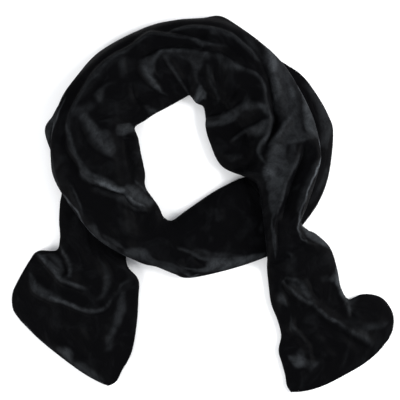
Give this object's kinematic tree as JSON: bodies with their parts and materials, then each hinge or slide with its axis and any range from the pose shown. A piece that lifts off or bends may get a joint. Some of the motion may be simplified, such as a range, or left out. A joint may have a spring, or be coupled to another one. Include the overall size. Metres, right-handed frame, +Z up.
{
  "type": "velvet scarf",
  "caption": "Narrow doubled velvet scarf laid flat, wound once round into a neck ring, with both ends trailing below and flaring to turned hems",
  "frame": {"origin": "middle of the bounding box in X and Y, on the surface on which the scarf lies", "axes": "+Z up from the surface, +Y from the two ends towards the top of the ring, +X to the right seen from above with +Y away"},
  "size_m": [0.4588, 0.452, 0.0524],
  "materials": {
    "velvet": "black crushed velvet pile with a soft sheen"
  },
  "bodies": {
    "root": {"left_end": "velvet", "under_turn_left": "velvet", "under_turn_right": "velvet", "front_arc": "velvet", "upper_turn_left": "velvet", "upper_turn_right": "velvet", "right_end": "velvet"}
  },
  "joints": []
}
